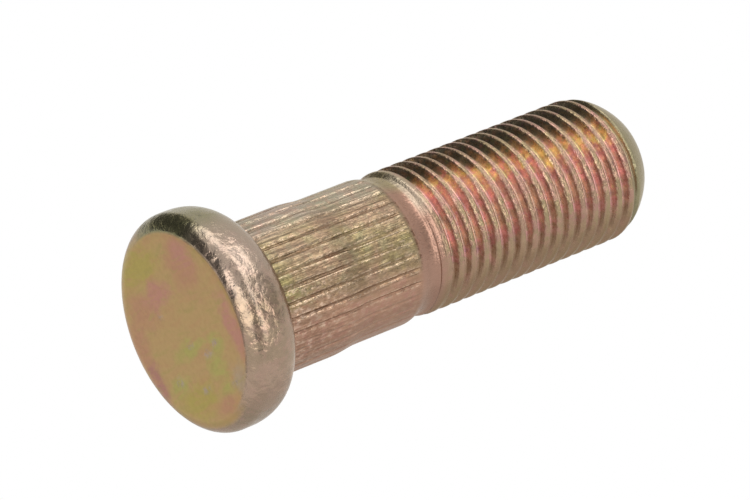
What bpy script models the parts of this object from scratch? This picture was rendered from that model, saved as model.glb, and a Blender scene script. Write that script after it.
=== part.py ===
"""Press-in wheel stud: a round head, a knurled shank, a short neck and a right-hand M12 x 1.25 thread.

The stud stands on its head: the flat face of the head is z = 0 and the thread points up +Z.
Lengths are metres. It is one forged and rolled piece, so it is one object.
"""

import math

import bmesh
import bpy

MM = 0.001

# Head: a flat disc with a rounded rim, deeper on its shank side
HEAD_DIAMETER = 17.7 * MM
HEAD_THICKNESS = 4.8 * MM
FACE_ROUND_WIDTH = 1.05 * MM
FACE_ROUND_DEPTH = 1.55 * MM
BACK_ROUND_WIDTH = 1.6 * MM
BACK_ROUND_DEPTH = 2.5 * MM
HEAD_FILLET = 0.3 * MM

# Knurled shank: full height beside the head, then a lower run that leads it into its hole
KNURL_RIDGES = 32
KNURL_DIAMETER = 12.44 * MM
LEAD_DIAMETER = 12.0 * MM
KNURL_DEPTH = 0.32 * MM
LEAD_DEPTH = 0.22 * MM
FULL_KNURL_LENGTH = 7.4 * MM
LEAD_TAPER_LENGTH = 1.2 * MM
LEAD_LENGTH = 5.5 * MM
RIDGE_CREST = 0.36 * MM
GROOVE_START_GAP = 0.35 * MM
GROOVE_RUNOUT = 0.9 * MM
GROOVE_OVERRUN = 0.3 * MM

# Neck: a waist between the knurl and the thread
NECK_DIAMETER = 11.24 * MM
SHOULDER_LENGTH = 1.25 * MM
NECK_LENGTH = 0.25 * MM
NECK_CONE_LENGTH = 1.5 * MM

# Thread: V grooves at 60 degrees with a flat crest and a flat root
THREAD_DIAMETER = 11.87 * MM
THREAD_PITCH = 1.25 * MM
THREAD_LENGTH = 18.4 * MM
THREAD_ANGLE = math.radians(60)
CREST_FLAT_SHARE = 0.18
ROOT_FLAT_SHARE = 0.22
RUNOUT_TURNS = 2
FULL_DEPTH_OFFSET = 0.5 * MM

# Point: a bulged chamfer down to a small flat end
POINT_LENGTH = 2.95 * MM
POINT_DIAMETER = 8.1 * MM
POINT_BULGE = 0.34 * MM

# Mesh fineness
FACETS = 40
ROUND_STEPS = 5
CUTTER_CLEARANCE = 0.04 * MM
WELD_DISTANCE = 0.002 * MM
SHARP_EDGE_ANGLE = math.radians(28)

HEAD_RADIUS = HEAD_DIAMETER / 2
KNURL_RADIUS = KNURL_DIAMETER / 2
LEAD_RADIUS = LEAD_DIAMETER / 2
NECK_RADIUS = NECK_DIAMETER / 2
THREAD_RADIUS = THREAD_DIAMETER / 2
POINT_RADIUS = POINT_DIAMETER / 2

# Heights of each change of section, from the head's face
LEAD_TAPER_Z = HEAD_THICKNESS + FULL_KNURL_LENGTH
LEAD_Z = LEAD_TAPER_Z + LEAD_TAPER_LENGTH
SHOULDER_Z = LEAD_Z + LEAD_LENGTH
NECK_Z = SHOULDER_Z + SHOULDER_LENGTH
CONE_Z = NECK_Z + NECK_LENGTH
THREAD_Z = CONE_Z + NECK_CONE_LENGTH
POINT_Z = THREAD_Z + THREAD_LENGTH
STUD_LENGTH = POINT_Z + POINT_LENGTH


def clear_scene():
    for old in list(bpy.data.objects):
        bpy.data.objects.remove(old, do_unlink=True)


def make_collection(name):
    collection = bpy.data.collections.new(name)
    bpy.context.scene.collection.children.link(collection)
    return collection


def plated_steel():
    """Steel with a yellow chromate over zinc: a satin metal between olive and pink-brown."""
    material = bpy.data.materials.new("yellow_chromated_steel")
    material.use_nodes = True
    shader = material.node_tree.nodes["Principled BSDF"]
    shader.inputs["Base Color"].default_value = (0.42, 0.27, 0.16, 1.0)
    shader.inputs["Metallic"].default_value = 0.85
    shader.inputs["Roughness"].default_value = 0.4
    return material


def quarter_round(start_radius, start_z, width, depth, opens_up):
    """Points of a quarter ellipse, out from the face or in towards the back, without its first point."""
    points = []
    for step in range(1, ROUND_STEPS + 1):
        turn = math.pi / 2 * step / ROUND_STEPS
        if opens_up:
            points.append((start_radius + width * math.sin(turn), start_z + depth * (1 - math.cos(turn))))
        else:
            points.append((start_radius - width * (1 - math.cos(turn)), start_z + depth * math.sin(turn)))
    return points


def head_fillet():
    """The concave fillet from the head's underside to the knurl, without its first point."""
    points = []
    for step in range(1, ROUND_STEPS):
        turn = math.pi / 2 * step / (ROUND_STEPS - 1)
        radius = KNURL_RADIUS + HEAD_FILLET * (1 - math.sin(turn))
        points.append((radius, HEAD_THICKNESS + HEAD_FILLET * (1 - math.cos(turn))))
    return points


def shoulder():
    """The S-shaped step from the lead diameter down to the neck, without its first point."""
    points = []
    for step in range(1, ROUND_STEPS + 1):
        share = step / ROUND_STEPS
        drop = (1 - math.cos(math.pi * share)) / 2
        radius = LEAD_RADIUS + (NECK_RADIUS - LEAD_RADIUS) * drop
        points.append((radius, SHOULDER_Z + SHOULDER_LENGTH * share))
    return points


def point():
    """The bulged chamfer from the thread's diameter to the end flat, without its first point."""
    points = []
    for step in range(1, ROUND_STEPS + 1):
        share = step / ROUND_STEPS
        radius = THREAD_RADIUS + (POINT_RADIUS - THREAD_RADIUS) * share
        points.append((radius + 4 * POINT_BULGE * share * (1 - share), POINT_Z + POINT_LENGTH * share))
    return points


def blank_profile():
    """(radius, height) from the middle of the face, up the outside, to the middle of the point."""
    face_radius = HEAD_RADIUS - FACE_ROUND_WIDTH
    outline = [(0.0, 0.0), (face_radius, 0.0)]
    outline += quarter_round(face_radius, 0.0, FACE_ROUND_WIDTH, FACE_ROUND_DEPTH, True)
    back_z = HEAD_THICKNESS - BACK_ROUND_DEPTH
    outline += [(HEAD_RADIUS, back_z)]
    outline += quarter_round(HEAD_RADIUS, back_z, BACK_ROUND_WIDTH, BACK_ROUND_DEPTH, False)
    outline += [(KNURL_RADIUS + HEAD_FILLET, HEAD_THICKNESS)]
    outline += head_fillet()
    outline += [(KNURL_RADIUS, LEAD_TAPER_Z), (LEAD_RADIUS, LEAD_Z), (LEAD_RADIUS, SHOULDER_Z)]
    outline += shoulder()
    outline += [(NECK_RADIUS, CONE_Z), (THREAD_RADIUS, THREAD_Z), (THREAD_RADIUS, POINT_Z)]
    outline += point()
    outline += [(0.0, STUD_LENGTH)]
    return outline


def turned_blank(collection):
    """The forged blank, turned about Z from its profile."""
    mesh = bpy.data.meshes.new("wheel_stud")
    outline = blank_profile()[::-1]
    edges = [(index, index + 1) for index in range(len(outline) - 1)]
    mesh.from_pydata([(radius, 0.0, height) for radius, height in outline], edges, [])
    stud = bpy.data.objects.new("wheel_stud", mesh)
    collection.objects.link(stud)
    screw = stud.modifiers.new("Turn", "SCREW")
    screw.axis = "Z"
    screw.steps = FACETS
    screw.render_steps = FACETS
    screw.use_merge_vertices = True
    screw.merge_threshold = 0.00001
    return stud


def add_cutter(name, bm, collection):
    bmesh.ops.recalc_face_normals(bm, faces=bm.faces)
    mesh = bpy.data.meshes.new(name)
    bm.to_mesh(mesh)
    bm.free()
    cutter = bpy.data.objects.new(name, mesh)
    cutter.hide_render = True
    cutter.display_type = "WIRE"
    collection.objects.link(cutter)
    return cutter


def groove_stations():
    """(height, blank radius, root radius) along one groove: it dips in, follows both knurls and runs out."""
    start_z = HEAD_THICKNESS + HEAD_FILLET + GROOVE_START_GAP
    end_z = SHOULDER_Z + GROOVE_OVERRUN
    return [
        (start_z, KNURL_RADIUS, KNURL_RADIUS + CUTTER_CLEARANCE),
        (start_z + KNURL_DEPTH, KNURL_RADIUS, KNURL_RADIUS - KNURL_DEPTH),
        (LEAD_TAPER_Z, KNURL_RADIUS, KNURL_RADIUS - KNURL_DEPTH),
        (LEAD_Z, LEAD_RADIUS, LEAD_RADIUS - LEAD_DEPTH),
        (end_z - GROOVE_RUNOUT, LEAD_RADIUS, LEAD_RADIUS - LEAD_DEPTH),
        (end_z, LEAD_RADIUS, LEAD_RADIUS + CUTTER_CLEARANCE),
    ]


def knurl_cutter(collection):
    """Straight V grooves, one between each pair of ridges."""
    bm = bmesh.new()
    ridge_spacing = math.tau * KNURL_RADIUS / KNURL_RIDGES
    half_width = (ridge_spacing - RIDGE_CREST) / 2
    side_slope = half_width / KNURL_DEPTH
    for ridge in range(KNURL_RIDGES):
        turn = math.tau * (ridge + 0.5) / KNURL_RIDGES
        rings = []
        for height, blank_radius, root_radius in groove_stations():
            outer_radius = blank_radius + 2 * CUTTER_CLEARANCE
            reach = (outer_radius - root_radius) * side_slope
            ring = []
            for radius, offset in ((root_radius, 0.0), (outer_radius, reach), (outer_radius, -reach)):
                x = radius * math.cos(turn) - offset * math.sin(turn)
                y = radius * math.sin(turn) + offset * math.cos(turn)
                ring.append(bm.verts.new((x, y, height)))
            rings.append(ring)
        for lower, upper in zip(rings, rings[1:]):
            for side in range(3):
                after = (side + 1) % 3
                bm.faces.new((lower[side], lower[after], upper[after], upper[side]))
        bm.faces.new(rings[0])
        bm.faces.new(rings[-1])
    return add_cutter("knurl_grooves", bm, collection)


def thread_section(start_z):
    """The four corners of the thread's groove where the coil starts, and how deep the groove is."""
    crest_flat = CREST_FLAT_SHARE * THREAD_PITCH
    root_flat = ROOT_FLAT_SHARE * THREAD_PITCH
    flank_slope = math.tan(THREAD_ANGLE / 2)
    depth = (THREAD_PITCH - crest_flat - root_flat) / (2 * flank_slope)
    outer_radius = THREAD_RADIUS + CUTTER_CLEARANCE
    outer_half = (THREAD_PITCH - crest_flat) / 2 + CUTTER_CLEARANCE * flank_slope
    corners = (
        (THREAD_RADIUS - depth, 0.0, start_z - root_flat / 2),
        (THREAD_RADIUS - depth, 0.0, start_z + root_flat / 2),
        (outer_radius, 0.0, start_z + outer_half),
        (outer_radius, 0.0, start_z - outer_half),
    )
    return corners, depth


def thread_cutter(collection):
    """The thread's groove as one closed coil, which runs out of the metal towards the neck."""
    start_z = THREAD_Z + FULL_DEPTH_OFFSET - RUNOUT_TURNS * THREAD_PITCH
    turns = math.ceil((STUD_LENGTH - start_z) / THREAD_PITCH)
    corners, depth = thread_section(start_z)

    bm = bmesh.new()
    bm.faces.new([bm.verts.new(corner) for corner in corners])
    bmesh.ops.spin(
        bm,
        geom=list(bm.verts) + list(bm.edges) + list(bm.faces),
        axis=(0.0, 0.0, 1.0),
        cent=(0.0, 0.0, 0.0),
        dvec=(0.0, 0.0, THREAD_PITCH / FACETS),
        angle=math.tau * turns,
        steps=turns * FACETS,
    )
    # The spin stores its points section by section, so a point's place in the list gives its turn
    bm.verts.index_update()
    runout_steps = RUNOUT_TURNS * FACETS
    for vertex in bm.verts:
        step = vertex.index // len(corners)
        lift = depth * max(0.0, 1 - step / runout_steps)
        radius = math.hypot(vertex.co.x, vertex.co.y)
        vertex.co.x *= (radius + lift) / radius
        vertex.co.y *= (radius + lift) / radius
    return add_cutter("thread_groove", bm, collection)


def cut(stud, cutter):
    boolean = stud.modifiers.new(cutter.name, "BOOLEAN")
    boolean.operation = "DIFFERENCE"
    boolean.solver = "EXACT"
    boolean.object = cutter


def weld(stud):
    """Joins the pairs of points that a groove leaves where its corners meet the blank's own edges."""
    weld_modifier = stud.modifiers.new("Weld", "WELD")
    weld_modifier.merge_threshold = WELD_DISTANCE


def keep_surface(stud):
    """Keeps the cut surface as a plain mesh, shaded smooth but for its sharp edges."""
    graph = bpy.context.evaluated_depsgraph_get()
    mesh = bpy.data.meshes.new_from_object(stud.evaluated_get(graph))
    stud.modifiers.clear()
    stud.data = mesh
    mesh.name = stud.name
    mesh.shade_smooth()
    mesh.set_sharp_from_angle(angle=SHARP_EDGE_ANGLE)


def main():
    clear_scene()
    parts = make_collection("wheel_stud")
    cutters = make_collection("cutters")
    stud = turned_blank(parts)
    cut(stud, knurl_cutter(cutters))
    cut(stud, thread_cutter(cutters))
    weld(stud)
    keep_surface(stud)
    stud.data.materials.clear()
    stud.data.materials.append(plated_steel())


main()
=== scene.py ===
"""Looks of the wheel stud: a finer rolled surface, its yellow chromate finish, and a pale studio.

The stud stands on its head, with the thread pointing up +Z. The photograph looks at the head from
below, so the floor shows only from above. Lengths are metres.
"""

import math

import bpy
from mathutils import Matrix, Vector


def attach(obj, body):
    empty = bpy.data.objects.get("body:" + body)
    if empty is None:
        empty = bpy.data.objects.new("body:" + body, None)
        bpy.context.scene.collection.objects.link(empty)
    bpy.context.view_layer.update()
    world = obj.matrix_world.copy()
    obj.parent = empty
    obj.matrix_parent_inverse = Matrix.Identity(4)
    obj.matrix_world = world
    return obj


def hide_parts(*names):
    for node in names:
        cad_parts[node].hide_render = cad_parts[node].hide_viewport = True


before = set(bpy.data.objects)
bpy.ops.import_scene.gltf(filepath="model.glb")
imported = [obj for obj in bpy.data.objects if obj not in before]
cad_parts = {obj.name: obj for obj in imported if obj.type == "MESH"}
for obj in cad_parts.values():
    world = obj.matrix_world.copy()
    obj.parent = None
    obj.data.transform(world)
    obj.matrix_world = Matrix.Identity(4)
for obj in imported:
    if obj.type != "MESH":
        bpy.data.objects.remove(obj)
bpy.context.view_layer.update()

MM = 0.001

# Head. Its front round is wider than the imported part's, as the photograph's reflections show
FACE_RADIUS = 7.3 * MM
HEAD_RADIUS = 8.85 * MM
HEAD_THICKNESS = 4.8 * MM
FACE_ROUND_DEPTH = 1.55 * MM
BACK_ROUND_WIDTH = 1.6 * MM
BACK_ROUND_DEPTH = 2.5 * MM
HEAD_FILLET = 0.3 * MM

# Knurl
KNURL_RIDGES = 32
KNURL_RADIUS = 6.22 * MM
LEAD_RADIUS = 6.0 * MM
KNURL_DEPTH = 0.21 * MM
LEAD_DEPTH = 0.16 * MM
KNURL_START = 5.45 * MM
LEAD_TAPER_START = 11.2 * MM
LEAD_START = 13.9 * MM
KNURL_FADE_START = 17.9 * MM
KNURL_END = 19.1 * MM
SHOULDER_START = 18.5 * MM
SHOULDER_LENGTH = 1.7 * MM

# Neck, thread and point
NECK_RADIUS = 5.62 * MM
CONE_START = 20.35 * MM
THREAD_START = 21.1 * MM
THREAD_RADIUS = 5.935 * MM
THREAD_PITCH = 1.25 * MM
GROOVE_SHARE = 0.81
THREAD_DEPTH = 0.65 * MM
ROOT_ROUNDING = 1.7
CREST_ROUNDING = 1.5
COIL_START = 19.9 * MM
RUNOUT_TURNS = 1.6
POINT_START = 40.3 * MM
POINT_LENGTH = 2.95 * MM
POINT_RADIUS = 4.05 * MM
POINT_BULGE = 0.34 * MM
END_BEVEL = 0.08 * MM
STUD_LENGTH = POINT_START + POINT_LENGTH

# Fine mesh: columns follow the ridges, and thread rows follow the helix between these heights
COLUMN_SHARES = (0.0, 0.26, 0.34, 0.42, 0.5, 0.58, 0.66, 0.74)
THREAD_ROW_SHARES = (0.0, 0.08, 0.17, 0.27, 0.35, 0.41, 0.46, 0.5, 0.54, 0.59, 0.66, 0.77, 0.89)
COILED_FROM = 20.25 * MM
COILED_TO = 42.9 * MM
SEAM_MERGE = 0.0005 * MM

# Camera: matched to the photograph's outline
CAMERA_PLACE = Vector((31.7161, -402.9915, -251.2786)) * MM
CAMERA_LOOKS_AT = Vector((-0.3209, 1.4028, 19.8821)) * MM
CAMERA_ROLL = math.radians(68.53)
CAMERA_LENS = 299.893

# Studio
STUD_MIDDLE = Vector((0.0, 0.0, 0.02))
TABLE_VIEW_ANGLE = math.radians(36)
LAMP_DISTANCE = 0.5
CARD_DISTANCE = 0.6
FLOOR_COLOUR = (0.78, 0.78, 0.78, 1.0)
FLOOR_FADE_START = 0.03
FLOOR_FADE_END = 0.3
FLOOR_HALF_WIDTH = 0.6
FLOOR_GAP = 0.03 * MM
CARD_STEPS = 12

# Steps of the turned rows
FACE_STEPS = 28
ROUND_STEPS = 18
FILLET_STEPS = 4
KNURL_STEPS = 16
TAPER_STEPS = 10
LEAD_STEPS = 12
SHOULDER_STEPS = 12


# ---------------------------------------------------------------- node trees

def give(tree, socket, value):
    """Gives a socket a plain value or another node's output."""
    if isinstance(value, bpy.types.NodeSocket):
        tree.links.new(value, socket)
    else:
        socket.default_value = value


def add_node(tree, kind, inputs=None, **settings):
    """A new node with its settings and inputs."""
    node = tree.nodes.new(kind)
    for name, value in settings.items():
        setattr(node, name, value)
    for name, value in (inputs or {}).items():
        give(tree, node.inputs[name], value)
    return node


def calc(tree, operation, *values, clamp=False):
    """The result of one sum."""
    node = add_node(tree, "ShaderNodeMath", dict(enumerate(values)), operation=operation)
    node.use_clamp = clamp
    return node.outputs[0]


def remap(tree, value, low, high, new_low=0.0, new_high=1.0, smooth=False):
    """The value taken from one range to another, and kept inside it."""
    inputs = {"Value": value, "From Min": low, "From Max": high, "To Min": new_low, "To Max": new_high}
    node = add_node(tree, "ShaderNodeMapRange", inputs, clamp=True)
    node.interpolation_type = "SMOOTHSTEP" if smooth else "LINEAR"
    return node.outputs["Result"]


def blend_value(tree, share, first, second):
    """A number between two others."""
    inputs = {"Factor": share, "A": first, "B": second}
    return add_node(tree, "ShaderNodeMix", inputs, data_type="FLOAT").outputs["Result"]


def moved(tree, place, shift):
    """The place with a shift added."""
    return add_node(tree, "ShaderNodeVectorMath", {0: place, 1: shift}, operation="ADD").outputs[0]


def stretched(tree, place, factors):
    """The place with each axis multiplied by its own factor."""
    return add_node(tree, "ShaderNodeVectorMath", {0: place, 1: factors}, operation="MULTIPLY").outputs[0]


def scaled(tree, place, factor):
    """The place with every axis multiplied by one factor."""
    return add_node(tree, "ShaderNodeVectorMath", {0: place, "Scale": factor}, operation="SCALE").outputs[0]


def length(tree, place):
    """How far the place is from the origin."""
    return add_node(tree, "ShaderNodeVectorMath", {0: place}, operation="LENGTH").outputs["Value"]


def stored_value(tree, name):
    """A value that the rolling left on the mesh."""
    return add_node(tree, "ShaderNodeAttribute", attribute_name=name).outputs["Fac"]


def new_sockets(tree, direction, sockets):
    """Named sockets on a group, as {name: (type, default)}."""
    for name, (kind, default) in sockets.items():
        socket = tree.interface.new_socket(name=name, in_out=direction, socket_type=kind)
        if default is not None:
            socket.default_value = default


# ---------------------------------------------------------------- the turned blank

def blank_radius(z):
    """Radius of the blank from the neck to the point's end."""
    if z <= CONE_START:
        return NECK_RADIUS
    if z < THREAD_START:
        return ease(NECK_RADIUS, THREAD_RADIUS, (z - CONE_START) / (THREAD_START - CONE_START))
    if z <= POINT_START:
        return THREAD_RADIUS
    share = (z - POINT_START) / POINT_LENGTH
    return THREAD_RADIUS + (POINT_RADIUS - THREAD_RADIUS) * share + 4 * POINT_BULGE * share * (1 - share)


def ease(first, last, share):
    """A smooth S from the first value to the last."""
    return first + (last - first) * (1 - math.cos(math.pi * share)) / 2


def shares(steps):
    """The shares of a length after each of its equal steps."""
    return [step / steps for step in range(1, steps + 1)]


def head_rows():
    """(radius, height) from the middle of the face to the start of the knurl."""
    rows = [(FACE_RADIUS * share, 0.0) for share in [0.0] + shares(FACE_STEPS)]
    for share in shares(ROUND_STEPS):
        turn = math.pi / 2 * share
        rows.append((FACE_RADIUS + (HEAD_RADIUS - FACE_RADIUS) * math.sin(turn),
                     FACE_ROUND_DEPTH * (1 - math.cos(turn))))
    back = HEAD_THICKNESS - BACK_ROUND_DEPTH
    for share in [0.0] + shares(ROUND_STEPS):
        turn = math.pi / 2 * share
        rows.append((HEAD_RADIUS - BACK_ROUND_WIDTH * (1 - math.cos(turn)),
                     back + BACK_ROUND_DEPTH * math.sin(turn)))
    for share in [0.0] + shares(FILLET_STEPS):
        turn = math.pi / 2 * share
        rows.append((KNURL_RADIUS + HEAD_FILLET * (1 - math.sin(turn)),
                     HEAD_THICKNESS + HEAD_FILLET * (1 - math.cos(turn))))
    return rows


def shank_rows():
    """(radius, height) from the knurl to the neck."""
    rows = [(KNURL_RADIUS, KNURL_START + KNURL_DEPTH * share) for share in (0.0, 0.3, 0.65, 1.0)]
    start = KNURL_START + KNURL_DEPTH
    rows += [(KNURL_RADIUS, start + (LEAD_TAPER_START - start) * share) for share in shares(KNURL_STEPS)]
    taper_length, lead_length = LEAD_START - LEAD_TAPER_START, SHOULDER_START - LEAD_START
    rows += [(ease(KNURL_RADIUS, LEAD_RADIUS, share), LEAD_TAPER_START + taper_length * share)
             for share in shares(TAPER_STEPS)]
    rows += [(LEAD_RADIUS, LEAD_START + lead_length * share) for share in shares(LEAD_STEPS)]
    rows += [(ease(LEAD_RADIUS, NECK_RADIUS, share), SHOULDER_START + SHOULDER_LENGTH * share)
             for share in shares(SHOULDER_STEPS)]
    rows.append((NECK_RADIUS, COILED_FROM))
    return rows


def point_rows():
    """(radius, height) from the last thread to the middle of the end."""
    rows = [(blank_radius(height), height) for height in (COILED_TO, STUD_LENGTH - 1.5 * END_BEVEL)]
    rows += [(POINT_RADIUS, STUD_LENGTH - END_BEVEL / 2), (POINT_RADIUS - END_BEVEL, STUD_LENGTH)]
    rows += [(POINT_RADIUS * share, STUD_LENGTH) for share in (0.9, 0.7, 0.45, 0.2, 0.0)]
    return rows


def coiled_rows():
    """Heights of the thread's rows where the coil starts its turn. Each climbs one pitch round the stud."""
    first = math.floor((COILED_FROM - COIL_START) / THREAD_PITCH) - 1
    last = math.ceil((COILED_TO - COIL_START) / THREAD_PITCH)
    return [COIL_START + THREAD_PITCH * (turn + share)
            for turn in range(first, last + 1) for share in THREAD_ROW_SHARES]


def turned_blank():
    """The blank as a mesh of rows and columns, with the rows of the thread set along its helix."""
    turns = [(ridge + share) / KNURL_RIDGES for ridge in range(KNURL_RIDGES) for share in COLUMN_SHARES]
    turns.append(1.0)
    grid = []
    for radius, height in head_rows() + shank_rows():
        grid.append([(radius, height)] * len(turns))
    for start in coiled_rows():
        heights = [min(max(start + THREAD_PITCH * turn, COILED_FROM), COILED_TO) for turn in turns]
        grid.append([(blank_radius(height), height) for height in heights])
    for radius, height in point_rows():
        grid.append([(radius, height)] * len(turns))

    points = []
    for row in grid:
        for (radius, height), turn in zip(row, turns):
            angle = math.tau * turn
            points.append((radius * math.cos(angle), radius * math.sin(angle), height))
    width = len(turns)
    faces = []
    for row in range(len(grid) - 1):
        for column in range(width - 1):
            start = row * width + column
            faces.append((start, start + 1, start + width + 1, start + width))
    mesh = bpy.data.meshes.new("stud_blank")
    mesh.from_pydata(points, [], faces)
    mesh.shade_smooth()
    blank = bpy.data.objects.new("wheel_stud_surface", mesh)
    bpy.context.scene.collection.objects.link(blank)
    return blank


# ---------------------------------------------------------------- rolled knurl and thread

ROLLING_SIZES = {
    "Ridges": float(KNURL_RIDGES),
    "Knurl Depth": KNURL_DEPTH,
    "Lead Depth": LEAD_DEPTH,
    "Knurl Start": KNURL_START,
    "Lead Taper Start": LEAD_TAPER_START,
    "Lead Start": LEAD_START,
    "Knurl Fade Start": KNURL_FADE_START,
    "Knurl End": KNURL_END,
    "Ridge Rounding": 3.0,
    "Lip Height": 0.05 * MM,
    "Ridge Wander": 0.05,
    "Shallow Side": 0.7,
    "Coil Start": COIL_START,
    "Pitch": THREAD_PITCH,
    "Thread Radius": THREAD_RADIUS,
    "Thread Depth": THREAD_DEPTH,
    "Groove Share": GROOVE_SHARE,
    "Root Rounding": ROOT_ROUNDING,
    "Crest Rounding": CREST_ROUNDING,
    "Runout Turns": RUNOUT_TURNS,
    "Crest Furrow": 0.02 * MM,
    "Roll Marks": 0.02 * MM,
    "Forging Waves": 0.05 * MM,
    "Dent Depth": 0.035 * MM,
}

# The knurl is faint on this side, as a share of a turn from +X
SHALLOW_SIDE_TURN = 0.975

# Each lip's middle and half width, as shares of half a ridge from the groove's middle
LIP_PLACE = 0.34
LIP_HALF_WIDTH = 0.17

# Small dents in the head's face: middle x and y, half width and half height in millimetres
FACE_DENTS = (
    (-1.60, 2.40, 0.38, 0.50),
    (2.60, -1.70, 0.45, 1.10),
    (2.20, -3.20, 0.50, 0.80),
    (5.00, 0.60, 0.38, 1.25),
    (3.50, 3.60, 0.60, 0.80),
    (1.40, 0.20, 0.35, 0.80),
    (5.60, -3.60, 0.35, 0.90),
)

# Inside this radius the two flat ends keep their shape
FLAT_END_RADIUS = POINT_RADIUS - 0.2 * MM

# Each finish covers the surface from this height up
FINISH_STARTS = {
    "Head Finish": -1.0,
    "Shank Finish": HEAD_THICKNESS + 0.01 * MM,
}


def uneven(tree, place, stretch, scale, seed):
    """A smooth random value from about -0.5 to 0.5. The scale is in features per millimetre."""
    inputs = {"Vector": stretched(tree, place, stretch), "W": seed, "Scale": scale / MM,
              "Detail": 2.0, "Roughness": 0.5}
    field = add_node(tree, "ShaderNodeTexNoise", inputs, noise_dimensions="4D").outputs[0]
    return calc(tree, "SUBTRACT", field, 0.5)


def knurl_drop(tree, sizes, place, turn, height):
    """How deep the straight grooves lie below the blank at each point, and the share of a full lip."""
    wander = calc(tree, "MULTIPLY", uneven(tree, place, (1.0, 1.0, 0.3), 0.8, 1.0), sizes["Ridge Wander"])
    cell = calc(tree, "FRACT", calc(tree, "MULTIPLY", turn, sizes["Ridges"]))
    from_groove = calc(tree, "ABSOLUTE", calc(tree, "SUBTRACT", calc(tree, "ADD", cell, wander), 0.5))
    toward_groove = calc(tree, "SUBTRACT", 1.0, calc(tree, "MULTIPLY", from_groove, 2.0), clamp=True)
    profile = calc(tree, "POWER", toward_groove, sizes["Ridge Rounding"])

    depth = remap(tree, height, sizes["Lead Taper Start"], sizes["Lead Start"],
                  sizes["Knurl Depth"], sizes["Lead Depth"], smooth=True)
    begin = remap(tree, height, sizes["Knurl Start"],
                  calc(tree, "ADD", sizes["Knurl Start"], sizes["Knurl Depth"]))
    fade = remap(tree, height, sizes["Knurl Fade Start"], sizes["Knurl End"], 1.0, 0.0, smooth=True)
    share = calc(tree, "ADD", 1.0, uneven(tree, place, (1.0, 1.0, 0.25), 0.6, 2.0))
    # The dies hardly marked one side
    aside = calc(tree, "MULTIPLY", calc(tree, "SUBTRACT", turn, SHALLOW_SIDE_TURN), math.tau)
    toward = calc(tree, "COSINE", aside)
    shallow = calc(tree, "MULTIPLY", remap(tree, toward, 0.7, 0.88, smooth=True), sizes["Shallow Side"])
    share = calc(tree, "MULTIPLY", share, calc(tree, "SUBTRACT", 1.0, shallow))
    present = calc(tree, "MULTIPLY", share, calc(tree, "MULTIPLY", begin, fade))
    # The metal pressed out of each groove stands up as a fine lip on both sides
    from_lip = calc(tree, "SUBTRACT", calc(tree, "MULTIPLY", from_groove, 2.0), LIP_PLACE)
    from_lip = calc(tree, "ABSOLUTE", from_lip)
    lip = calc(tree, "MULTIPLY", remap(tree, from_lip, LIP_HALF_WIDTH, 0.0, smooth=True), present)
    drop = calc(tree, "MULTIPLY", calc(tree, "MULTIPLY", depth, profile), present)
    return calc(tree, "SUBTRACT", drop, calc(tree, "MULTIPLY", lip, sizes["Lip Height"])), lip


def thread_surface(tree, sizes, place, turn, height):
    """Radius of the thread at each point, which is larger than the blank where there is no groove."""
    climbed = calc(tree, "DIVIDE", calc(tree, "SUBTRACT", height, sizes["Coil Start"]), sizes["Pitch"])
    nearest = calc(tree, "ROUND", calc(tree, "SUBTRACT", climbed, turn))
    nearest = calc(tree, "MAXIMUM", nearest, 0.0)
    run = calc(tree, "ADD", nearest, turn)
    aside = calc(tree, "ABSOLUTE", calc(tree, "SUBTRACT", climbed, run))

    # 0 in the middle of the root, and 1 where the crest begins
    across = calc(tree, "DIVIDE", aside, calc(tree, "MULTIPLY", sizes["Groove Share"], 0.5), clamp=True)
    rounded_root = calc(tree, "SUBTRACT", 1.0, calc(tree, "POWER", across, sizes["Root Rounding"]))
    profile = calc(tree, "POWER", calc(tree, "MAXIMUM", rounded_root, 0.0), sizes["Crest Rounding"])
    short = calc(tree, "SUBTRACT", 1.0, calc(tree, "DIVIDE", run, sizes["Runout Turns"]))
    lift = calc(tree, "MULTIPLY", sizes["Thread Depth"], calc(tree, "MAXIMUM", short, 0.0))
    groove = calc(tree, "SUBTRACT", calc(tree, "MULTIPLY", profile, sizes["Thread Depth"]), lift)
    cut = calc(tree, "MAXIMUM", groove, 0.0)

    # The dies fold the crest over in places, which leaves a fine furrow along it
    in_furrow = remap(tree, aside, 0.46, 0.5, smooth=True)
    patchy = remap(tree, uneven(tree, place, (1.0, 1.0, 1.0), 0.5, 3.0), -0.08, 0.1, smooth=True)
    furrow = calc(tree, "MULTIPLY", calc(tree, "MULTIPLY", in_furrow, patchy), sizes["Crest Furrow"])
    whole = calc(tree, "GREATER_THAN", 0.0001 * MM, lift)
    furrow = calc(tree, "MULTIPLY", furrow, whole)
    return calc(tree, "SUBTRACT", sizes["Thread Radius"], calc(tree, "ADD", cut, furrow))


def face_dents(tree, place):
    """1 in the middle of each dent in the face, and 0 away from them."""
    total = 0.0
    for dent in FACE_DENTS:
        x, y, half_width, half_height = (size * MM for size in dent)
        away = moved(tree, place, (-x, -y, 0.0))
        away = stretched(tree, away, (1 / half_width, 1 / half_height, 1 / half_width))
        total = calc(tree, "ADD", total, remap(tree, length(tree, away), 1.0, 0.0, smooth=True))
    return total


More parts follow.
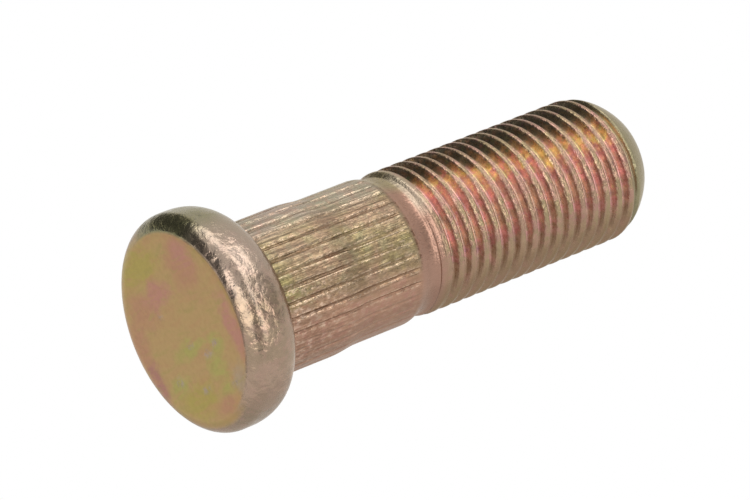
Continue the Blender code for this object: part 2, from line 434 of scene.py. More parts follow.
def rolling_tree():
    """Presses the knurl and the thread into the blank, as the rolling dies do."""
    tree = bpy.data.node_groups.new("roll_knurl_and_thread", "GeometryNodeTree")
    new_sockets(tree, "INPUT", {"Geometry": ("NodeSocketGeometry", None)})
    new_sockets(tree, "INPUT", {name: ("NodeSocketFloat", size) for name, size in ROLLING_SIZES.items()})
    new_sockets(tree, "INPUT", {name: ("NodeSocketMaterial", None) for name in FINISH_STARTS})
    new_sockets(tree, "OUTPUT", {"Geometry": ("NodeSocketGeometry", None)})
    sizes = tree.nodes.new("NodeGroupInput").outputs

    place = add_node(tree, "GeometryNodeInputPosition").outputs[0]
    split = add_node(tree, "ShaderNodeSeparateXYZ", {0: place}).outputs
    turn = calc(tree, "FRACT", calc(tree, "DIVIDE", calc(tree, "ARCTAN2", split["Y"], split["X"]), math.tau))
    flat = add_node(tree, "ShaderNodeCombineXYZ", {"X": split["X"], "Y": split["Y"]}).outputs[0]
    radius = length(tree, flat)

    drop, lip = knurl_drop(tree, sizes, place, turn, split["Z"])
    rolled = calc(tree, "SUBTRACT", radius, drop)
    threaded = calc(tree, "MINIMUM", rolled, thread_surface(tree, sizes, place, turn, split["Z"]))
    threaded_part = calc(tree, "GREATER_THAN", split["Z"], sizes["Knurl End"])
    surface = blend_value(tree, threaded_part, rolled, threaded)
    marks = calc(tree, "MULTIPLY", uneven(tree, place, (1.0, 1.0, 1.0), 2.2, 4.0), sizes["Roll Marks"])
    waves = calc(tree, "MULTIPLY", uneven(tree, place, (1.0, 1.0, 1.0), 0.55, 5.0), sizes["Forging Waves"])
    on_head = calc(tree, "LESS_THAN", split["Z"], HEAD_THICKNESS)
    wanted = calc(tree, "ADD", surface, blend_value(tree, on_head, marks, waves))
    scale = calc(tree, "DIVIDE", wanted, calc(tree, "MAXIMUM", radius, 1e-6))
    on_wall = calc(tree, "GREATER_THAN", radius, FLAT_END_RADIUS)
    rolled_out = scaled(tree, flat, blend_value(tree, on_wall, 1.0, scale))
    dents = face_dents(tree, place)
    height = calc(tree, "ADD", split["Z"], calc(tree, "MULTIPLY", dents, sizes["Dent Depth"]))
    up = add_node(tree, "ShaderNodeCombineXYZ", {"Z": height}).outputs[0]
    target = moved(tree, rolled_out, up)

    knurl_low = calc(tree, "DIVIDE", drop, sizes["Knurl Depth"])
    thread_low = calc(tree, "DIVIDE", calc(tree, "SUBTRACT", rolled, threaded), sizes["Thread Depth"])
    thread_low = calc(tree, "MULTIPLY", thread_low, threaded_part)
    named = tree.nodes.new("NodeGroupInput").outputs["Geometry"]
    stored = {"knurl_groove": knurl_low, "knurl_lip": lip, "thread_groove": thread_low, "face_dent": dents}
    for name, value in stored.items():
        inputs = {"Geometry": named, "Name": name, "Value": value}
        named = add_node(tree, "GeometryNodeStoreNamedAttribute", inputs,
                         data_type="FLOAT", domain="POINT").outputs[0]
    placed = add_node(tree, "GeometryNodeSetPosition", {"Geometry": named, "Position": target}).outputs[0]
    inputs = {"Geometry": placed, "Distance": SEAM_MERGE}
    merged = add_node(tree, "GeometryNodeMergeByDistance", inputs).outputs[0]
    real = add_node(tree, "GeometryNodeRealizeInstances", {"Geometry": merged}).outputs[0]
    for name, start in FINISH_STARTS.items():
        above = calc(tree, "GREATER_THAN", split["Z"], start)
        inputs = {"Geometry": real, "Selection": above, "Material": sizes[name]}
        real = add_node(tree, "GeometryNodeSetMaterial", inputs).outputs[0]
    add_node(tree, "NodeGroupOutput", {"Geometry": real})
    return tree


def set_input(modifier, name, value):
    """Sets a Geometry Nodes input, which is found by the socket's identifier."""
    for item in modifier.node_group.interface.items_tree:
        if item.item_type == "SOCKET" and item.in_out == "INPUT" and item.name == name:
            modifier[item.identifier] = value


def rolled_stud(finishes):
    """The whole stud as one closed mesh."""
    stud = turned_blank()
    rolling = stud.modifiers.new("Rolling", "NODES")
    rolling.node_group = rolling_tree()
    for name, size in ROLLING_SIZES.items():
        set_input(rolling, name, size)
    for name, material in zip(FINISH_STARTS, finishes):
        set_input(rolling, name, material)
    even = stud.modifiers.new("Even shading", "WEIGHTED_NORMAL")
    even.weight = 100
    graph = bpy.context.evaluated_depsgraph_get()
    mesh = bpy.data.meshes.new_from_object(stud.evaluated_get(graph), depsgraph=graph)
    stud.modifiers.clear()
    stud.data = mesh
    mesh.name = stud.name
    return stud


# ---------------------------------------------------------------- finish

def tint(red, green, blue):
    """A colour given as it looks on screen, from 0 to 255."""
    return tuple(((value / 255 + 0.055) / 1.055) ** 2.4 for value in (red, green, blue)) + (1.0,)


def blend_colour(tree, share, first, second, kind="MIX"):
    """The first colour with a share of the second. Sockets 0, 6 and 7 are the share and the two colours."""
    node = add_node(tree, "ShaderNodeMix", {0: share, 6: first, 7: second}, data_type="RGBA", blend_type=kind)
    return node.outputs[2]


def shaded(tree, colour, light):
    """The colour made lighter or darker by a factor."""
    grey = add_node(tree, "ShaderNodeCombineXYZ", {"X": light, "Y": light, "Z": light}).outputs[0]
    return blend_colour(tree, 1.0, colour, grey, "MULTIPLY")


def noise(tree, place, scale, detail=2.0, rough=0.5, swirl=0.0):
    """A soft random value round 0.5. The scale is in features per millimetre."""
    inputs = {"Vector": place, "Scale": scale, "Detail": detail, "Roughness": rough, "Distortion": swirl}
    return add_node(tree, "ShaderNodeTexNoise", inputs).outputs[0]


def new_group(name, inputs, outputs):
    """An empty shader group, and the outputs of its input node."""
    tree = bpy.data.node_groups.new(name, "ShaderNodeTree")
    new_sockets(tree, "INPUT", inputs)
    new_sockets(tree, "OUTPUT", outputs)
    return tree, tree.nodes.new("NodeGroupInput").outputs


def use_group(tree, group, inputs):
    """Places a group in a material with its own values."""
    return add_node(tree, "ShaderNodeGroup", inputs, node_tree=group).outputs


def bloom_group():
    """Soft cloudy patches of a second colour in the chromate, and a fine light and dark mottle."""
    tree, given = new_group("chromate_bloom", {
        "Place": ("NodeSocketVector", None),
        "Ground": ("NodeSocketColor", None),
        "Bloom": ("NodeSocketColor", None),
        "Patch Scale": ("NodeSocketFloat", 0.25),
        "Softness": ("NodeSocketFloat", 0.15),
        "Mottle": ("NodeSocketFloat", 0.1),
        "Fleck": ("NodeSocketColor", None),
        "Fleck Share": ("NodeSocketFloat", 0.0),
    }, {"Color": ("NodeSocketColor", None)})
    field = noise(tree, given["Place"], given["Patch Scale"], 3.0, 0.55, 0.4)
    mask = remap(tree, field, calc(tree, "SUBTRACT", 0.5, given["Softness"]),
                 calc(tree, "ADD", 0.5, given["Softness"]), smooth=True)
    colour = blend_colour(tree, mask, given["Ground"], given["Bloom"])
    flecks = noise(tree, moved(tree, given["Place"], (7.0, 1.0, 4.0)), 1.3, 3.0, 0.6)
    flecks = remap(tree, flecks, 0.46, 0.62, smooth=True)
    colour = blend_colour(tree, calc(tree, "MULTIPLY", flecks, given["Fleck Share"]), colour, given["Fleck"])
    fine = noise(tree, given["Place"], 1.7, 4.0, 0.65)
    half = calc(tree, "MULTIPLY", given["Mottle"], 0.5)
    light = remap(tree, fine, 0.3, 0.7, calc(tree, "SUBTRACT", 1.0, half), calc(tree, "ADD", 1.0, half))
    add_node(tree, "NodeGroupOutput", {"Color": shaded(tree, colour, light)})
    return tree


def grain_group():
    """The satin skin of the plating: fine grain, longer waves, and a roughness that varies with them."""
    tree, given = new_group("plated_grain", {
        "Place": ("NodeSocketVector", None),
        "Grain Scale": ("NodeSocketFloat", 4.0),
        "Wave Scale": ("NodeSocketFloat", 0.9),
        "Wave Share": ("NodeSocketFloat", 0.5),
        "Roughness": ("NodeSocketFloat", 0.32),
        "Spread": ("NodeSocketFloat", 0.1),
    }, {"Height": ("NodeSocketFloat", None), "Roughness": ("NodeSocketFloat", None)})
    fine = noise(tree, given["Place"], given["Grain Scale"], 2.0, 0.6)
    wave = noise(tree, moved(tree, given["Place"], (3.0, 17.0, 41.0)), given["Wave Scale"], 1.0)
    # A long wave has to stand higher than a short grain to tilt the surface as much
    tall = calc(tree, "MULTIPLY", wave, calc(tree, "DIVIDE", given["Grain Scale"], given["Wave Scale"]))
    height = calc(tree, "ADD", fine, calc(tree, "MULTIPLY", tall, given["Wave Share"]))
    half = calc(tree, "MULTIPLY", given["Spread"], 0.5)
    rough = remap(tree, fine, 0.35, 0.65, calc(tree, "SUBTRACT", given["Roughness"], half),
                  calc(tree, "ADD", given["Roughness"], half))
    add_node(tree, "NodeGroupOutput", {"Height": height, "Roughness": rough})
    return tree


# The film in the thread's grooves, from the top of the stud as photographed down to the viewer's side
# Its dark low end is painted shade, where the thread's roots lie deep in shade.
STAIN_AND_SHADE_COLOURS = (
    (0.0, tint(135, 122, 100)),
    (0.2, tint(162, 131, 101)),
    (0.36, tint(196, 160, 114)),
    (0.5, tint(214, 190, 134)),
    (0.62, tint(214, 178, 144)),
    (0.74, tint(203, 152, 137)),
    (0.88, tint(192, 151, 134)),
    (1.0, tint(187, 152, 130)),
)
STAIN_PINK = tint(206, 146, 142)
STAIN_VIOLET = tint(164, 116, 140)
STAIN_GREEN = tint(140, 156, 104)


def stain_and_shade_group():
    """The thicker film in the grooves of the thread: gold on one side, turning to peach and rose, with
    painted shade at its dark end.
    """
    tree, given = new_group("groove_stain_and_shade", {
        "Place": ("NodeSocketVector", None),
        "Round": ("NodeSocketFloat", 0.0),
    }, {"Color": ("NodeSocketColor", None)})
    clouds = noise(tree, given["Place"], 0.5, 2.0, 0.5, 0.3)
    specks = noise(tree, moved(tree, given["Place"], (5.0, 9.0, 2.0)), 1.7, 2.0, 0.5)
    shift = calc(tree, "ADD", calc(tree, "MULTIPLY", clouds, 0.7), calc(tree, "MULTIPLY", specks, 1.0))
    shift = calc(tree, "SUBTRACT", shift, 0.85)
    ramp = add_node(tree, "ShaderNodeValToRGB", {"Fac": calc(tree, "ADD", given["Round"], shift)})
    stops = ramp.color_ramp.elements
    for number, (share, colour) in enumerate(STAIN_AND_SHADE_COLOURS):
        stop = stops[number] if number < 2 else stops.new(share)
        stop.position = share
        stop.color = colour
    pinks = noise(tree, moved(tree, given["Place"], (1.0, 8.0, 3.0)), 0.9, 3.0, 0.6)
    pinks = calc(tree, "MULTIPLY", remap(tree, pinks, 0.48, 0.6, 0.0, 0.75, smooth=True),
                 remap(tree, given["Round"], 0.12, 0.34))
    film = blend_colour(tree, pinks, ramp.outputs[0], STAIN_PINK)
    film = blend_colour(tree, remap(tree, specks, 0.6, 0.7, 0.0, 0.35, smooth=True), film, STAIN_VIOLET)
    film = blend_colour(tree, remap(tree, specks, 0.38, 0.28, 0.0, 0.35, smooth=True), film, STAIN_GREEN)
    shade = noise(tree, moved(tree, given["Place"], (2.0, 6.0, 1.0)), 1.1, 3.0, 0.6)
    shade = remap(tree, shade, 0.35, 0.65, 0.68, 1.1)
    add_node(tree, "NodeGroupOutput", {"Color": shaded(tree, film, shade)})
    return tree


# The clear film over the chromate, the metal's colour in a glancing view, and the height of its grain
HEAD_COAT = 0.45
SHANK_COAT = 0.2
COAT_ROUGHNESS = 0.22
COAT_IOR = 1.6
EDGE_TINT = (0.86, 0.79, 0.70, 1.0)
RELIEF = 0.05 * MM


def start_finish(name, coat):
    """A new metal finish: its tree, its shader and its place in millimetres."""
    material = bpy.data.materials.new(name)
    material.use_nodes = True
    tree = material.node_tree
    shader = tree.nodes["Principled BSDF"]
    shader.inputs["Metallic"].default_value = 1.0
    shader.inputs["Specular Tint"].default_value = EDGE_TINT
    shader.inputs["Coat Weight"].default_value = coat
    shader.inputs["Coat Roughness"].default_value = COAT_ROUGHNESS
    shader.inputs["Coat IOR"].default_value = COAT_IOR
    place = scaled(tree, add_node(tree, "ShaderNodeTexCoord").outputs["Object"], 1 / MM)
    return material, tree, shader, place


def end_finish(tree, shader, colour, rough, height):
    """Joins the finish to its shader."""
    tree.links.new(colour, shader.inputs["Base Color"])
    tree.links.new(rough, shader.inputs["Roughness"])
    bump = add_node(tree, "ShaderNodeBump", {"Strength": 1.0, "Distance": RELIEF, "Height": height})
    tree.links.new(bump.outputs[0], shader.inputs["Normal"])


def facing(tree, place, angle, full, gone, wobble=0.0):
    """1 on the side of the stud that faces the angle, fading to 0. Angles are degrees round the axis."""
    flat = stretched(tree, place, (1.0, 1.0, 0.0))
    out = add_node(tree, "ShaderNodeVectorMath", {0: flat}, operation="NORMALIZE").outputs[0]
    toward = (math.cos(math.radians(angle)), math.sin(math.radians(angle)), 0.0)
    near = add_node(tree, "ShaderNodeVectorMath", {0: out, 1: toward}, operation="DOT_PRODUCT")
    near = near.outputs["Value"]
    if wobble:
        near = calc(tree, "ADD", near, calc(tree, "MULTIPLY", noise(tree, place, 0.35, 2.0), wobble))
        near = calc(tree, "SUBTRACT", near, wobble / 2)
    return remap(tree, near, math.cos(math.radians(gone)), math.cos(math.radians(full)), smooth=True)


def cloud(tree, place, centre, size, soft):
    """1 inside a soft uneven ellipse round the centre, and 0 outside."""
    away = moved(tree, place, tuple(-value for value in centre))
    away = length(tree, stretched(tree, away, tuple(1 / side for side in size)))
    wobble = calc(tree, "MULTIPLY", calc(tree, "SUBTRACT", noise(tree, place, 0.55, 4.0, 0.6), 0.5), 2.3)
    return remap(tree, calc(tree, "ADD", away, wobble), 1 - soft, 1 + soft, 1.0, 0.0, smooth=True)


# Sides of the stud: the angle in the middle of the side, how far from it the side is whole and where it is
# gone, all in degrees, and how much its edge wanders
FACE_NEAR_SIDE = (-105, 72, 100)
RIM_TOP_SIDE = (-160, 10, 45, 0.3)
# Painted highlight on the rim
RIM_HIGHLIGHT_SIDE = (-116, 8, 32, 0.25)
RIM_FOOT_SIDE = (-38, 4, 16, 0.2)
OLIVE_SIDE = (-112, 30, 62, 0.25)
# Painted sheen on the top side
CROWN_SHEEN_SIDE = (-165, 22, 44, 0.15)
# Painted shade on the side toward the table
FOOT_SHADE_SIDE = (-8, 16, 50, 0.2)
RUBBED_SIDE = (-48, 26, 44, 0.2)
FURROWED_SIDE = (-115, 55, 75, 0.1)
# Painted shade on the shoulder's top side
SHOULDER_SHADE_SIDE = (-158, 14, 34, 0.2)
# Painted highlight on the neck
NECK_HIGHLIGHT_SIDE = (-126, 12, 32, 0.15)
SMOOTH_SIDE = (-25, 20, 44, 0.2)

# Where one finish gives way to the next, in millimetres up the stud
NEAR_FACE_EDGE = (0.004, 0.075)
FAR_FACE_EDGE = (0.1, 0.4)
HEAD_CORNER = (5.5, 5.1)
RUBBED_END = (7.5, 13.0)
SMOOTH_RISE = (8.0, 13.0)
FURROW_END = (18.2, 18.8)
SHOULDER_EDGE = (18.5, 19.0)
NECK_EDGE = (20.2, 20.6)
THREAD_EDGE = (20.9, 21.6)
STAIN_SLOPE = (22.0, 40.0)
POINT_EDGE = (40.3, 41.2)
END_EDGE = (42.6, 43.1)

FACE_GROUND = tint(171, 139, 85)
FACE_OLIVE = tint(162, 144, 64)
FACE_GREEN = tint(160, 150, 74)
FACE_SALMON = tint(170, 124, 88)
FACE_PINK = tint(174, 120, 100)
FACE_ROSE = tint(160, 108, 94)
FACE_LILAC = tint(162, 138, 108)
DENT_LILAC = tint(156, 137, 128)
STREAK_TAN = tint(172, 130, 84)
STREAK_OLIVE = tint(156, 138, 72)
RIM_OLIVE = tint(124, 121, 86)
# Painted highlight on the rim
RIM_PAINTED_HIGHLIGHT = tint(162, 144, 130)
RIM_FOOT = tint(168, 140, 120)
# Painted shade on the shank's foot side
SHANK_FOOT_SHADE = tint(150, 116, 96)
# Painted shade in the knurl's grooves
GROOVE_PAINTED_SHADE = tint(128, 102, 80)
SPECK_LIGHT = tint(204, 176, 154)
SPECK_DARK = tint(132, 96, 76)
FURROW_BROWN = tint(112, 92, 70)
# Painted highlight on the knurl's lips
LIP_PAINTED_HIGHLIGHT = tint(206, 180, 154)
# Painted light in the corner by the head
CORNER_PAINTED_LIGHT = tint(178, 156, 138)
SHOULDER_PINK = tint(160, 124, 106)
# Painted shade on the shoulder's top side
SHOULDER_SHADE_OLIVE = tint(156, 142, 108)
# Painted highlight on the neck
NECK_PAINTED_HIGHLIGHT = tint(170, 156, 136)
# Painted shade on the thread's foot side
THREAD_FOOT_SHADE = tint(145, 119, 89)
POINT_OLIVE = tint(142, 133, 103)

# Soft patches on the face: middle x and y, half width and half height in millimetres, and colour
FACE_CLOUDS = (
    (-5.8, 2.8, 1.5, 3.0, FACE_OLIVE),
    (-2.6, 4.6, 1.4, 1.9, FACE_SALMON),
    (-3.3, 1.6, 1.0, 1.7, FACE_PINK),
    (-4.4, -3.4, 2.2, 1.9, FACE_SALMON),
    (-5.0, -3.9, 1.2, 1.1, FACE_PINK),
    (-0.4, 6.8, 1.9, 1.1, FACE_SALMON),
    (1.7, 0.2, 0.7, 2.0, FACE_GREEN),
    (3.9, 3.6, 0.8, 1.5, FACE_GREEN),
    (5.6, 1.8, 1.2, 2.8, FACE_OLIVE),
    (4.2, -2.3, 1.7, 1.2, FACE_GREEN),
    (2.2, -3.5, 0.7, 1.1, FACE_GREEN),
    (1.8, -6.5, 2.6, 0.9, FACE_PINK),
    (2.7, 6.5, 1.3, 0.9, FACE_ROSE),
    (5.8, -4.6, 1.5, 1.1, FACE_LILAC),
    (6.9, -1.4, 0.7, 1.6, FACE_SALMON),
)


def head_finish(bloom, grain):
    """Stained smooth face, and a brighter forged rim with a painted highlight on one side."""
    material, tree, shader, place = start_finish("head_chromate", HEAD_COAT)
    height_up = add_node(tree, "ShaderNodeSeparateXYZ", {0: place}).outputs["Z"]
    near_edge = remap(tree, height_up, *NEAR_FACE_EDGE, 1.0, 0.0, smooth=True)
    far_edge = remap(tree, height_up, *FAR_FACE_EDGE, 1.0, 0.0, smooth=True)
    on_face = blend_value(tree, facing(tree, place, *FACE_NEAR_SIDE), far_edge, near_edge)

    face = FACE_GROUND
    for x, y, half_width, half_height, colour in FACE_CLOUDS:
        patch = cloud(tree, place, (x, y, 0.0), (half_width, half_height, 4.0), 0.6)
        face = blend_colour(tree, patch, face, colour)
    streaks = noise(tree, stretched(tree, place, (1.0, 0.25, 1.0)), 1.3, 4.0, 0.6, 0.5)
    face = blend_colour(tree, remap(tree, streaks, 0.48, 0.68, 0.0, 0.55, smooth=True), face, STREAK_TAN)
    face = blend_colour(tree, remap(tree, streaks, 0.48, 0.3, 0.0, 0.55, smooth=True), face, STREAK_OLIVE)
    broken = remap(tree, noise(tree, place, 1.9, 3.0, 0.6), 0.44, 0.56, 0.1, 0.9, smooth=True)
    dent = calc(tree, "MULTIPLY", stored_value(tree, "face_dent"), broken)
    face = blend_colour(tree, dent, face, DENT_LILAC)

    rim = use_group(tree, bloom, {
        "Place": place, "Ground": tint(156, 132, 111), "Bloom": tint(148, 127, 104), "Patch Scale": 0.3,
        "Softness": 0.12, "Mottle": 0.14, "Fleck": tint(172, 136, 122), "Fleck Share": 0.35})["Color"]
    # The paler patch on one side of the rim is a painted highlight.
    for side, share, colour in ((RIM_TOP_SIDE, 1.0, RIM_OLIVE), (RIM_HIGHLIGHT_SIDE, 0.6, RIM_PAINTED_HIGHLIGHT),
                                (RIM_FOOT_SIDE, 0.5, RIM_FOOT)):
        rim = blend_colour(tree, calc(tree, "MULTIPLY", facing(tree, place, *side), share), rim, colour)
    colour = blend_colour(tree, on_face, rim, face)

    skin = use_group(tree, grain, {
        "Place": place, "Grain Scale": 2.4, "Wave Scale": 0.8, "Wave Share": 0.7,
        "Roughness": 0.27, "Spread": 0.12})
    height = calc(tree, "MULTIPLY", skin["Height"], remap(tree, on_face, 0.0, 1.0, 1.5, 0.12))
    rough = calc(tree, "ADD", skin["Roughness"], calc(tree, "MULTIPLY", on_face, 0.1))
    end_finish(tree, shader, colour, rough, height)
    return material


def knurl_colour(tree, bloom, place, height_up, on_lip):
    """Pink below, olive above, a painted sheen on top, painted shade in the grooves and toward the foot,
    painted highlights on the lips, painted light by the head and rubbed specks.
    """
    lower = use_group(tree, bloom, {
        "Place": place, "Ground": tint(166, 128, 106), "Bloom": tint(171, 132, 108), "Patch Scale": 0.22,
        "Softness": 0.12, "Mottle": 0.08, "Fleck": tint(176, 120, 112), "Fleck Share": 0.35})["Color"]
    upper = use_group(tree, bloom, {
        "Place": place, "Ground": tint(148, 121, 98), "Bloom": tint(140, 128, 87), "Patch Scale": 0.26,
        "Softness": 0.16, "Mottle": 0.16, "Fleck": tint(164, 154, 122), "Fleck Share": 0.35})["Color"]
    crown_sheen = use_group(tree, bloom, {
        "Place": place, "Ground": tint(171, 152, 139), "Bloom": tint(158, 151, 127), "Patch Scale": 0.2,
        "Softness": 0.14, "Mottle": 0.2, "Fleck": tint(176, 136, 118), "Fleck Share": 0.4})["Color"]
    shank = blend_colour(tree, facing(tree, place, *OLIVE_SIDE), lower, upper)
    # The paler crown on the top side is a painted sheen
    shank = blend_colour(tree, facing(tree, place, *CROWN_SHEEN_SIDE), shank, crown_sheen)
    # Painted shade on the side toward the table
    foot_shade = facing(tree, place, *FOOT_SHADE_SIDE)
    shank = blend_colour(tree, calc(tree, "MULTIPLY", foot_shade, 0.3), shank, SHANK_FOOT_SHADE)
    # Painted shade darkens the knurl's grooves
    knurl_groove_shade = remap(tree, stored_value(tree, "knurl_groove"), 0.3, 0.9, smooth=True)
    shank = blend_colour(tree, calc(tree, "MULTIPLY", knurl_groove_shade, 0.6), shank, GROOVE_PAINTED_SHADE)

    # Handling has broken the finish near the head into small light and dark specks
    specks = noise(tree, stretched(tree, place, (1.0, 1.0, 0.6)), 2.8, 3.0, 0.65)
    rubbed = calc(tree, "MULTIPLY", facing(tree, place, *RUBBED_SIDE),
                  remap(tree, height_up, *RUBBED_END, 0.6, 0.15))
    for low, high, colour in ((0.53, 0.6, SPECK_LIGHT), (0.46, 0.4, SPECK_DARK)):
        share = calc(tree, "MULTIPLY", rubbed, remap(tree, specks, low, high, smooth=True))
        shank = blend_colour(tree, share, shank, colour)

    furrows = noise(tree, stretched(tree, place, (1.0, 1.0, 0.05)), 2.6, 2.0, 0.6)
    furrows = remap(tree, furrows, 0.48, 0.36, 0.0, 0.3, smooth=True)
    furrows = calc(tree, "MULTIPLY", furrows, remap(tree, height_up, *FURROW_END, 1.0, 0.0))
    furrows = calc(tree, "MULTIPLY", furrows, facing(tree, place, *FURROWED_SIDE))
    shank = blend_colour(tree, furrows, shank, FURROW_BROWN)
    # Painted highlights along the lips
    shank = blend_colour(tree, calc(tree, "MULTIPLY", on_lip, 0.75), shank, LIP_PAINTED_HIGHLIGHT)
    # Painted light in the corner by the head, against the shade there
    corner_light = remap(tree, height_up, *HEAD_CORNER, 0.0, 0.7, smooth=True)
    return blend_colour(tree, corner_light, shank, CORNER_PAINTED_LIGHT)


def thread_colour(tree, bloom, stain_and_shade, place, split, low):
    """Brown crests over grooves stained from gold to rose, with painted shade at the stain's dark end and
    toward the foot, and an olive point.
    """
    crest = use_group(tree, bloom, {
        "Place": place, "Ground": tint(162, 130, 110), "Bloom": tint(156, 136, 104), "Patch Scale": 0.3,
        "Softness": 0.15, "Mottle": 0.2, "Fleck": tint(178, 128, 122), "Fleck Share": 0.5})["Color"]
    angle = calc(tree, "DEGREES", calc(tree, "ARCTAN2", split["Y"], split["X"]))
    along = remap(tree, split["Z"], *STAIN_SLOPE, 0.16, -0.1)
    round_share = calc(tree, "ADD", remap(tree, angle, -138.0, -84.0), along)
    round_share = calc(tree, "SUBTRACT", round_share, calc(tree, "GREATER_THAN", angle, 60.0))
    groove = use_group(tree, stain_and_shade, {"Place": place, "Round": round_share})["Color"]
    crest_edge = remap(tree, round_share, 0.6, 0.95, 0.22, 0.55)
    thread = blend_colour(tree, remap(tree, low, 0.02, crest_edge, smooth=True), crest, groove)
    # Painted shade on the side toward the table
    foot_shade = facing(tree, place, *FOOT_SHADE_SIDE)
    thread = blend_colour(tree, calc(tree, "MULTIPLY", foot_shade, 0.75), thread, THREAD_FOOT_SHADE)
    return blend_colour(tree, remap(tree, split["Z"], *POINT_EDGE, smooth=True), thread, POINT_OLIVE)


def shank_finish(bloom, grain, stain_and_shade):
    """Knurl, shoulder, neck, thread and point."""
    material, tree, shader, place = start_finish("shank_chromate", SHANK_COAT)
    split = add_node(tree, "ShaderNodeSeparateXYZ", {0: place}).outputs
    on_thread = remap(tree, split["Z"], *THREAD_EDGE, smooth=True)
    on_shoulder = remap(tree, split["Z"], *SHOULDER_EDGE, smooth=True)
    beads = remap(tree, noise(tree, place, 3.4, 2.0, 0.6), 0.42, 0.56, smooth=True)
    on_lip = calc(tree, "MULTIPLY", stored_value(tree, "knurl_lip"), beads, clamp=True)
    low = stored_value(tree, "thread_groove")

    shank = knurl_colour(tree, bloom, place, split["Z"], on_lip)
    # The olive tone on the shoulder's top side is painted shade
    shoulder = blend_colour(tree, facing(tree, place, *SHOULDER_SHADE_SIDE), SHOULDER_PINK, SHOULDER_SHADE_OLIVE)
    shank = blend_colour(tree, on_shoulder, shank, shoulder)
    # The pale band on one side of the neck, where the first turns run out, is a painted highlight
    neck_highlight = calc(tree, "MULTIPLY", remap(tree, split["Z"], *NECK_EDGE, smooth=True),
                   facing(tree, place, *NECK_HIGHLIGHT_SIDE))
    shank = blend_colour(tree, calc(tree, "MULTIPLY", neck_highlight, 0.75), shank, NECK_PAINTED_HIGHLIGHT)
    colour = blend_colour(tree, on_thread, shank, thread_colour(tree, bloom, stain_and_shade, place, split, low))

    knurl_skin = use_group(tree, grain, {
        "Place": stretched(tree, place, (1.0, 1.0, 0.3)), "Grain Scale": 5.0, "Wave Scale": 2.0,
        "Wave Share": 0.3, "Roughness": 0.32, "Spread": 0.12})
    thread_skin = use_group(tree, grain, {
        "Place": stretched(tree, place, (0.5, 0.5, 1.0)), "Grain Scale": 6.0, "Wave Scale": 2.2,
        "Wave Share": 0.3, "Roughness": 0.3, "Spread": 0.12})
    lines = noise(tree, stretched(tree, place, (1.0, 1.0, 0.05)), 2.6, 2.0, 0.6)
    line_height = calc(tree, "MULTIPLY", calc(tree, "SUBTRACT", 1.0, on_shoulder), 5.0)
    knurl_height = calc(tree, "ADD", calc(tree, "MULTIPLY", knurl_skin["Height"], 1.3),
                        calc(tree, "MULTIPLY", lines, line_height))
    thread_height = calc(tree, "MULTIPLY", thread_skin["Height"], remap(tree, low, 0.1, 0.5, 1.4, 0.25))
    height = blend_value(tree, on_thread, knurl_height, thread_height)
    calm = calc(tree, "MULTIPLY", facing(tree, place, *SMOOTH_SIDE),
                remap(tree, split["Z"], *SMOOTH_RISE, 0.4, 0.75))
    calm = calc(tree, "MULTIPLY", calm, remap(tree, split["Z"], *END_EDGE, 1.0, 0.0))
    strong = calc(tree, "SUBTRACT", 1.0, calm)
    rough = blend_value(tree, on_thread, knurl_skin["Roughness"], thread_skin["Roughness"])
    rough = calc(tree, "SUBTRACT", rough, calc(tree, "MULTIPLY", on_lip, 0.1))
    end_finish(tree, shader, colour, rough, calc(tree, "MULTIPLY", height, strong))
    return material


# ---------------------------------------------------------------- studio

def photo_camera():
    """The camera where the photograph was taken from."""
    data = bpy.data.cameras.new("photo_camera")
    data.lens = CAMERA_LENS
    data.sensor_width = 36.0
    data.clip_start = 0.01
    data.clip_end = 10.0
    camera = bpy.data.objects.new("photo_camera", data)
    bpy.context.scene.collection.objects.link(camera)
    toward = (CAMERA_LOOKS_AT - CAMERA_PLACE).normalized()
    turn = toward.to_track_quat("-Z", "Y").to_matrix().to_4x4()
    camera.matrix_world = Matrix.Translation(CAMERA_PLACE) @ turn @ Matrix.Rotation(CAMERA_ROLL, 4, "Z")
    bpy.context.scene.camera = camera
    return camera


def photo_axes(camera):
    """Right, toward the viewer and up, as they were on the photographer's table."""
    turn = camera.matrix_world.to_3x3()
    right, over, back = turn.col[0], turn.col[1], turn.col[2]
    up = over * math.cos(TABLE_VIEW_ANGLE) + back * math.sin(TABLE_VIEW_ANGLE)
    front = back * math.cos(TABLE_VIEW_ANGLE) - over * math.sin(TABLE_VIEW_ANGLE)
    return right, front, up


def bearing(axes, azimuth, elevation):
    """Unit vector to a place round the table: azimuth 0 is the viewer's side and 90 is the right."""
    right, front, up = axes
    azimuth, elevation = math.radians(azimuth), math.radians(elevation)
    level = front * math.cos(azimuth) + right * math.sin(azimuth)
    return level * math.cos(elevation) + up * math.sin(elevation)


def soft_lamp(axes, name, azimuth, elevation, width, height, brightness):
    """A softbox aimed at the stud, as bright as the given share of white."""
    data = bpy.data.lights.new(name, "AREA")
    data.shape = "RECTANGLE"
    data.size = width
    data.size_y = height
    data.energy = brightness * math.pi * width * height
    lamp = bpy.data.objects.new(name, data)
    bpy.context.scene.collection.objects.link(lamp)
    back = bearing(axes, azimuth, elevation)
    side = axes[2].cross(back).normalized()
    over = back.cross(side)
    turn = Matrix((side, over, back)).transposed().to_4x4()
    lamp.matrix_world = Matrix.Translation(STUD_MIDDLE + back * LAMP_DISTANCE) @ turn
    lamp.visible_camera = False


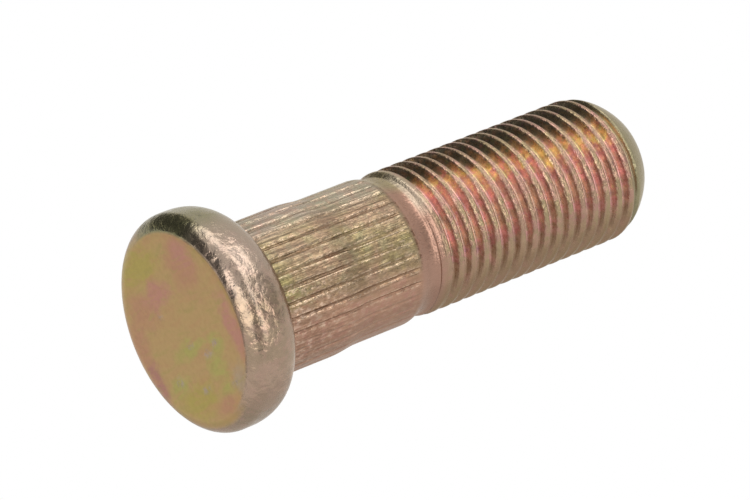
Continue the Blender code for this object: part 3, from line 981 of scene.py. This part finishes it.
def dark_card(axes, name, azimuths, elevations, shade):
    """A curved dark card round the table, which only reflections see."""
    points, faces = [], []
    for row in range(CARD_STEPS + 1):
        for column in range(CARD_STEPS + 1):
            azimuth = azimuths[0] + (azimuths[1] - azimuths[0]) * column / CARD_STEPS
            elevation = elevations[0] + (elevations[1] - elevations[0]) * row / CARD_STEPS
            points.append(STUD_MIDDLE + bearing(axes, azimuth, elevation) * CARD_DISTANCE)
    for row in range(CARD_STEPS):
        for column in range(CARD_STEPS):
            start = row * (CARD_STEPS + 1) + column
            faces.append((start, start + 1, start + CARD_STEPS + 2, start + CARD_STEPS + 1))
    mesh = bpy.data.meshes.new(name)
    mesh.from_pydata(points, [], faces)
    card = bpy.data.objects.new(name, mesh)
    bpy.context.scene.collection.objects.link(card)
    material = bpy.data.materials.new(name)
    material.use_nodes = True
    tree = material.node_tree
    tree.nodes.clear()
    glow = add_node(tree, "ShaderNodeEmission", {"Color": (shade, shade, shade, 1.0), "Strength": 1.0})
    add_node(tree, "ShaderNodeOutputMaterial", {"Surface": glow.outputs[0]})
    mesh.materials.append(material)
    card.visible_camera = False
    card.visible_diffuse = False
    card.visible_shadow = False
    card.visible_transmission = False


def pale_world():
    """Plain white all round."""
    world = bpy.data.worlds.new("studio")
    bpy.context.scene.world = world
    world.use_nodes = True
    background = world.node_tree.nodes["Background"]
    background.inputs["Color"].default_value = (1, 1, 1, 1)
    background.inputs["Strength"].default_value = 1.0


def pale_floor():
    """The table top. It shows only from above, keeps the stud's soft shadow and fades out to white."""
    half = FLOOR_HALF_WIDTH
    mesh = bpy.data.meshes.new("table_top")
    corners = [(-half, -half, 0), (half, -half, 0), (half, half, 0), (-half, half, 0)]
    mesh.from_pydata(corners, [], [(0, 1, 2, 3)])
    floor = bpy.data.objects.new("table_top", mesh)
    floor.location.z = -FLOOR_GAP
    bpy.context.scene.collection.objects.link(floor)
    material = bpy.data.materials.new("table_white")
    material.use_nodes = True
    tree = material.node_tree
    white = tree.nodes["Principled BSDF"]
    white.inputs["Base Color"].default_value = FLOOR_COLOUR
    white.inputs["Roughness"].default_value = 0.9
    clear = add_node(tree, "ShaderNodeBsdfTransparent")
    below = add_node(tree, "ShaderNodeNewGeometry").outputs["Backfacing"]
    away = length(tree, add_node(tree, "ShaderNodeTexCoord").outputs["Object"])
    fade = remap(tree, away, FLOOR_FADE_START, FLOOR_FADE_END, smooth=True)
    mix = add_node(tree, "ShaderNodeMixShader", {0: calc(tree, "MAXIMUM", below, fade),
                                                 1: white.outputs[0], 2: clear.outputs[0]})
    tree.links.new(mix.outputs[0], tree.nodes["Material Output"].inputs["Surface"])
    mesh.materials.append(material)
    floor.visible_diffuse = False
    floor.visible_glossy = False
    floor.visible_transmission = False
    floor.visible_shadow = False


bpy.context.scene.view_settings.view_transform = "Standard"
bloom, grain, stain_and_shade = bloom_group(), grain_group(), stain_and_shade_group()
stud = rolled_stud((head_finish(bloom, grain), shank_finish(bloom, grain, stain_and_shade)))
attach(stud, "root")
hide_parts("wheel_stud")
axes = photo_axes(photo_camera())
# Lamps: azimuth, elevation, width, height and brightness
soft_lamp(axes, "left_softbox", -28.5, 24, 0.425, 0.32, 2.15)
soft_lamp(axes, "right_softbox", 54, 28, 0.19, 0.48, 2.1)
soft_lamp(axes, "back_softbox", 110, 62, 0.34, 0.20, 2.4)
soft_lamp(axes, "top_softbox", -150, 68, 0.28, 0.28, 2.0)
# Cards: from and to azimuth, from and to elevation, and shade
dark_card(axes, "left_card", (-163, -59), (-9, 43), 0.115)
dark_card(axes, "low_card", (-92, -70), (-19, -9), 0.3)
dark_card(axes, "front_card", (6, 31), (0, 76), 0.3)
dark_card(axes, "back_card", (70, 110), (3, 44), 0.52)
dark_card(axes, "table_shade", (-180, 180), (-90, -44), 0.76)
pale_world()
pale_floor()
